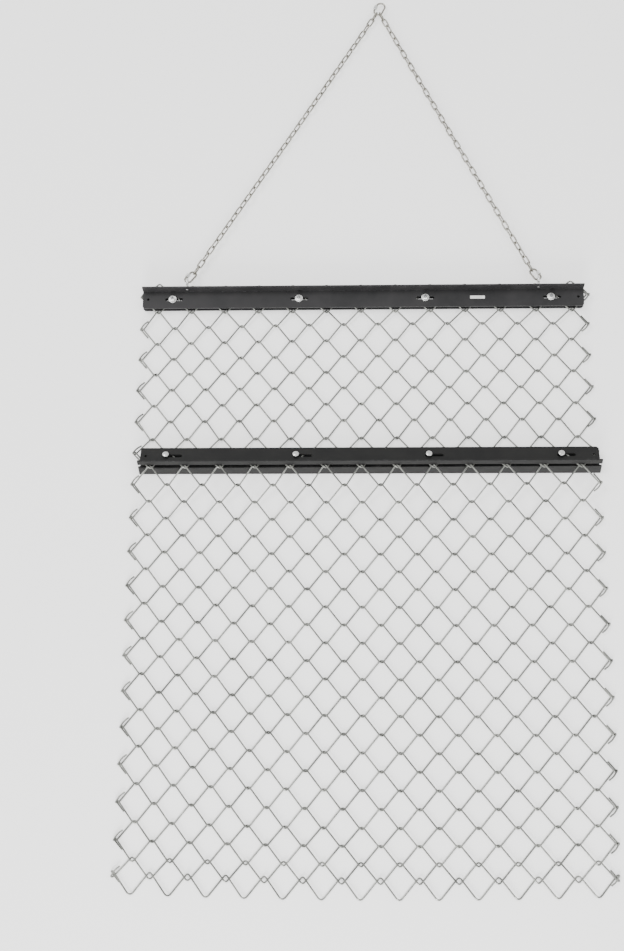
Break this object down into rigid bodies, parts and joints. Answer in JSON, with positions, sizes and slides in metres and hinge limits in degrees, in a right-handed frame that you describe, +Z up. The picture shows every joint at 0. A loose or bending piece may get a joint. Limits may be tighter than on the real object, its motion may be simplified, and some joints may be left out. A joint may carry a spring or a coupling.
{
  "type": "drag harrow",
  "caption": "Drag harrow: a mat of hooked zigzag wires clamped between a tow bar and a levelling bar, with a V-shaped chain and a screw link to pull it by.",
  "frame": {"origin": "middle of the flat underside of the tow bar's clamp strap", "axes": "+X to the right seen from behind, +Y forwards to the tow chain, +Z up"},
  "size_m": [1.1548, 2.3742, 0.0505],
  "materials": {
    "mat_wire": "bright zinc, lightly worn",
    "bar_paint": "satin black",
    "bolt_zinc": "bright zinc",
    "chain_zinc": "bright zinc"
  },
  "bodies": {
    "tow_bar": {"tow_clamp_strap": "bar_paint", "tow_angle": "bar_paint", "tow_bolt_1": "bolt_zinc", "tow_bolt_2": "bolt_zinc", "tow_bolt_3": "bolt_zinc", "tow_bolt_4": "bolt_zinc", "tow_eye_left": "bolt_zinc", "tow_eye_right": "bolt_zinc", "picket_01": "mat_wire", "picket_02": "mat_wire"},
    "mat_03": {"picket_03": "mat_wire"},
    "mat_04": {"picket_04": "mat_wire"},
    "mat_05": {"picket_05": "mat_wire"},
    "mat_06": {"picket_06": "mat_wire"},
    "mat_07": {"picket_07": "mat_wire"},
    "mat_08": {"picket_08": "mat_wire"},
    "mat_09": {"picket_09": "mat_wire"},
    "mat_10": {"picket_10": "mat_wire"},
    "level_bar": {"level_clamp_strap": "bar_paint", "level_angle": "bar_paint", "level_bolt_1": "bolt_zinc", "level_bolt_2": "bolt_zinc", "level_bolt_3": "bolt_zinc", "level_bolt_4": "bolt_zinc", "picket_11": "mat_wire", "picket_12": "mat_wire"},
    "mat_13": {"picket_13": "mat_wire"},
    "mat_14": {"picket_14": "mat_wire"},
    "mat_15": {"picket_15": "mat_wire"},
    "mat_16": {"picket_16": "mat_wire"},
    "mat_17": {"picket_17": "mat_wire"},
    "mat_18": {"picket_18": "mat_wire"},
    "mat_19": {"picket_19": "mat_wire"},
    "mat_20": {"picket_20": "mat_wire"},
    "mat_21": {"picket_21": "mat_wire"},
    "mat_22": {"picket_22": "mat_wire"},
    "mat_23": {"picket_23": "mat_wire"},
    "mat_24": {"picket_24": "mat_wire"},
    "mat_25": {"picket_25": "mat_wire"},
    "mat_26": {"picket_26": "mat_wire"},
    "mat_27": {"picket_27": "mat_wire"},
    "mat_28": {"picket_28": "mat_wire"},
    "mat_29": {"picket_29": "mat_wire"},
    "mat_30": {"picket_30": "mat_wire"},
    "mat_31": {"picket_31": "mat_wire"},
    "mat_32": {"picket_32": "mat_wire"},
    "mat_33": {"picket_33": "mat_wire"},
    "mat_34": {"picket_34": "mat_wire"},
    "mat_35": {"picket_35": "mat_wire"},
    "mat_36": {"picket_36": "mat_wire"},
    "bar_link_left": {"bar_link_left": "chain_zinc", "bar_link_left_sleeve": "bolt_zinc"},
    "lower_chain_left": {"chain_lower_left": "chain_zinc"},
    "upper_chain_left": {"chain_upper_left": "chain_zinc"},
    "bar_link_right": {"bar_link_right": "chain_zinc", "bar_link_right_sleeve": "bolt_zinc"},
    "lower_chain_right": {"chain_lower_right": "chain_zinc"},
    "upper_chain_right": {"chain_upper_right": "chain_zinc"},
    "apex_link": {"apex_link": "chain_zinc", "apex_link_sleeve": "bolt_zinc"}
  },
  "joints": [
    {"name": "mat_hook_03", "type": "hinge", "parent": "tow_bar", "child": "mat_03", "pos_m": [0, -0.0332, 0.0087], "axis": [-1, 0, 0], "range_deg": [-6, 6]},
    {"name": "mat_hook_04", "type": "hinge", "parent": "mat_03", "child": "mat_04", "pos_m": [0, -0.0758, 0.00583], "axis": [-1, 0, 0], "range_deg": [-6, 6]},
    {"name": "mat_hook_05", "type": "hinge", "parent": "mat_04", "child": "mat_05", "pos_m": [0, -0.11839, 0.00297], "axis": [-1, 0, 0], "range_deg": [-6, 6]},
    {"name": "mat_hook_06", "type": "hinge", "parent": "mat_05", "child": "mat_06", "pos_m": [0, -0.16098, 0.0001], "axis": [-1, 0, 0], "range_deg": [-6, 6]},
    {"name": "mat_hook_07", "type": "hinge", "parent": "mat_06", "child": "mat_07", "pos_m": [0, -0.20367, 0.0001], "axis": [-1, 0, 0], "range_deg": [-6, 6]},
    {"name": "mat_hook_08", "type": "hinge", "parent": "mat_07", "child": "mat_08", "pos_m": [0, -0.24635, 0.0001], "axis": [-1, 0, 0], "range_deg": [-6, 6]},
    {"name": "mat_hook_09", "type": "hinge", "parent": "mat_08", "child": "mat_09", "pos_m": [0, -0.28903, 0.0001], "axis": [-1, 0, 0], "range_deg": [-6, 6]},
    {"name": "mat_hook_10", "type": "hinge", "parent": "mat_09", "child": "mat_10", "pos_m": [0, -0.33171, 0.0001], "axis": [-1, 0, 0], "range_deg": [-6, 6]},
    {"name": "level_bar_hook", "type": "hinge", "parent": "mat_10", "child": "level_bar", "pos_m": [0, -0.37437, 0.00095], "axis": [-1, 0, 0], "range_deg": [-6, 6]},
    {"name": "mat_hook_13", "type": "hinge", "parent": "level_bar", "child": "mat_13", "pos_m": [0, -0.45502, 0.02886], "axis": [-1, 0, 0], "range_deg": [-4, 10]},
    {"name": "mat_hook_14", "type": "hinge", "parent": "mat_13", "child": "mat_14", "pos_m": [0, -0.49659, 0.01927], "axis": [-1, 0, 0], "range_deg": [-6, 6]},
    {"name": "mat_hook_15", "type": "hinge", "parent": "mat_14", "child": "mat_15", "pos_m": [0, -0.53817, 0.00969], "axis": [-1, 0, 0], "range_deg": [-6, 6]},
    {"name": "mat_hook_16", "type": "hinge", "parent": "mat_15", "child": "mat_16", "pos_m": [0, -0.57974, 0.0001], "axis": [-1, 0, 0], "range_deg": [-6, 6]},
    {"name": "mat_hook_17", "type": "hinge", "parent": "mat_16", "child": "mat_17", "pos_m": [0, -0.62239, 0.0001], "axis": [-1, 0, 0], "range_deg": [-6, 24.6]},
    {"name": "mat_hook_18", "type": "hinge", "parent": "mat_17", "child": "mat_18", "pos_m": [0, -0.66505, 0.0001], "axis": [-1, 0, 0], "range_deg": [-6, 25.3]},
    {"name": "mat_hook_19", "type": "hinge", "parent": "mat_18", "child": "mat_19", "pos_m": [0, -0.7077, 0.0001], "axis": [-1, 0, 0], "range_deg": [-6, 26]},
    {"name": "mat_hook_20", "type": "hinge", "parent": "mat_19", "child": "mat_20", "pos_m": [0, -0.75035, 0.0001], "axis": [-1, 0, 0], "range_deg": [-6, 26.7]},
    {"name": "mat_hook_21", "type": "hinge", "parent": "mat_20", "child": "mat_21", "pos_m": [0, -0.79299, 0.0001], "axis": [-1, 0, 0], "range_deg": [-6, 27.3]},
    {"name": "mat_hook_22", "type": "hinge", "parent": "mat_21", "child": "mat_22", "pos_m": [0, -0.83564, 0.0001], "axis": [-1, 0, 0], "range_deg": [-6, 28]},
    {"name": "mat_hook_23", "type": "hinge", "parent": "mat_22", "child": "mat_23", "pos_m": [0, -0.87828, 0.0001], "axis": [-1, 0, 0], "range_deg": [-6, 28.7]},
    {"name": "mat_hook_24", "type": "hinge", "parent": "mat_23", "child": "mat_24", "pos_m": [0, -0.92091, 0.0001], "axis": [-1, 0, 0], "range_deg": [-6, 29.4]},
    {"name": "mat_hook_25", "type": "hinge", "parent": "mat_24", "child": "mat_25", "pos_m": [0, -0.96355, 0.0001], "axis": [-1, 0, 0], "range_deg": [-6, 30.1]},
    {"name": "mat_hook_26", "type": "hinge", "parent": "mat_25", "child": "mat_26", "pos_m": [0, -1.00618, 0.0001], "axis": [-1, 0, 0], "range_deg": [-6, 30.8]},
    {"name": "mat_hook_27", "type": "hinge", "parent": "mat_26", "child": "mat_27", "pos_m": [0, -1.04881, 0.0001], "axis": [-1, 0, 0], "range_deg": [-6, 31.4]},
    {"name": "mat_hook_28", "type": "hinge", "parent": "mat_27", "child": "mat_28", "pos_m": [0, -1.09143, 0.0001], "axis": [-1, 0, 0], "range_deg": [-6, 32.1]},
    {"name": "mat_hook_29", "type": "hinge", "parent": "mat_28", "child": "mat_29", "pos_m": [0, -1.13406, 0.0001], "axis": [-1, 0, 0], "range_deg": [-6, 32.8]},
    {"name": "mat_hook_30", "type": "hinge", "parent": "mat_29", "child": "mat_30", "pos_m": [0, -1.17668, 0.0001], "axis": [-1, 0, 0], "range_deg": [-6, 33.5]},
    {"name": "mat_hook_31", "type": "hinge", "parent": "mat_30", "child": "mat_31", "pos_m": [0, -1.21929, 0.0001], "axis": [-1, 0, 0], "range_deg": [-6, 34.2]},
    {"name": "mat_hook_32", "type": "hinge", "parent": "mat_31", "child": "mat_32", "pos_m": [0, -1.26191, 0.0001], "axis": [-1, 0, 0], "range_deg": [-6, 34.9]},
    {"name": "mat_hook_33", "type": "hinge", "parent": "mat_32", "child": "mat_33", "pos_m": [0, -1.30452, 0.0001], "axis": [-1, 0, 0], "range_deg": [-6, 35.5]},
    {"name": "mat_hook_34", "type": "hinge", "parent": "mat_33", "child": "mat_34", "pos_m": [0, -1.34713, 0.0001], "axis": [-1, 0, 0], "range_deg": [-6, 36.2]},
    {"name": "mat_hook_35", "type": "hinge", "parent": "mat_34", "child": "mat_35", "pos_m": [0, -1.38973, 0.0001], "axis": [-1, 0, 0], "range_deg": [-6, 36.9]},
    {"name": "mat_hook_36", "type": "hinge", "parent": "mat_35", "child": "mat_36", "pos_m": [0, -1.43234, 0.0001], "axis": [-1, 0, 0], "range_deg": [-6, 14]},
    {"name": "bar_link_swing_left", "type": "hinge", "parent": "tow_bar", "child": "bar_link_left", "pos_m": [-0.4488, 0.04478, 0.02649], "axis": [1, -0.0003, 0], "range_deg": [-20, 35]},
    {"name": "lower_chain_swing_left", "type": "hinge", "parent": "bar_link_left", "child": "lower_chain_left", "pos_m": [-0.42979, 0.0763, 0.01362], "axis": [1, 0.0015, 0], "range_deg": [-30, 30]},
    {"name": "upper_chain_swing_left", "type": "hinge", "parent": "lower_chain_left", "child": "upper_chain_left", "pos_m": [-0.19014, 0.47366, 0.0057], "axis": [0.9988, 0.0499, 0], "range_deg": [-45, 30]},
    {"name": "bar_link_swing_right", "type": "hinge", "parent": "tow_bar", "child": "bar_link_right", "pos_m": [0.44838, 0.04455, 0.02649], "axis": [1, -0.0003, 0], "range_deg": [-20, 35]},
    {"name": "lower_chain_swing_right", "type": "hinge", "parent": "bar_link_right", "child": "lower_chain_right", "pos_m": [0.43222, 0.07763, 0.01362], "axis": [1, 0.0015, 0], "range_deg": [-30, 30]},
    {"name": "upper_chain_swing_right", "type": "hinge", "parent": "lower_chain_right", "child": "upper_chain_right", "pos_m": [0.22853, 0.49456, 0.0057], "axis": [0.9988, 0.0499, 0], "range_deg": [-45, 30]},
    {"name": "apex_link_swing", "type": "hinge", "parent": "upper_chain_left", "child": "apex_link", "pos_m": [0.04086, 0.8567, 0.0057], "axis": [0.999, -0.0441, 0], "range_deg": [-60, 30]}
  ],
  "couplings": [
    {"joint": "bar_link_swing_right", "follows": "bar_link_swing_left", "ratio": 1},
    {"joint": "lower_chain_swing_right", "follows": "lower_chain_swing_left", "ratio": 1},
    {"joint": "upper_chain_swing_right", "follows": "upper_chain_swing_left", "ratio": 1}
  ]
}
